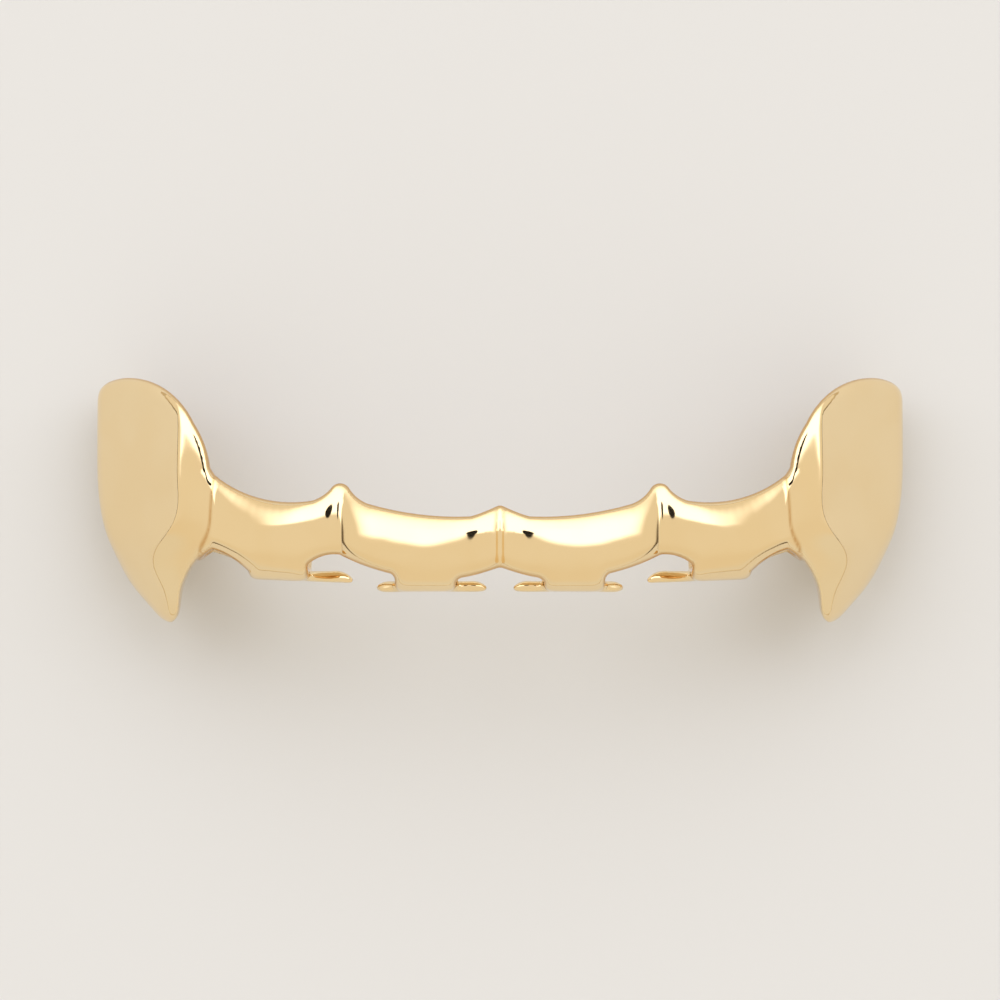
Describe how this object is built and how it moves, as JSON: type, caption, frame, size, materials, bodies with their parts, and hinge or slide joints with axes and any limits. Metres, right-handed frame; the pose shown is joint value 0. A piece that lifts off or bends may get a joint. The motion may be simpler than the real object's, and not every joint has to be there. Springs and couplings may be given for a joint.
{
  "type": "fang grill tooth cover",
  "caption": "Metal tooth cover that clips over the upper front teeth: a rounded bar along their biting edges joins two pointed, hollow fang caps.",
  "frame": {"origin": "middle of the footprint on the surface that it lies on, backs of the caps down", "axes": "+X across the mouth, +Y from the fangs' tips towards the gum, +Z out of the lips"},
  "size_m": [0.0474, 0.0144, 0.0171],
  "materials": {
    "gold_plate": "mirror-polished pale gold plate on cast brass"
  },
  "bodies": {
    "root": {"tooth_cover": "gold_plate"}
  },
  "joints": []
}
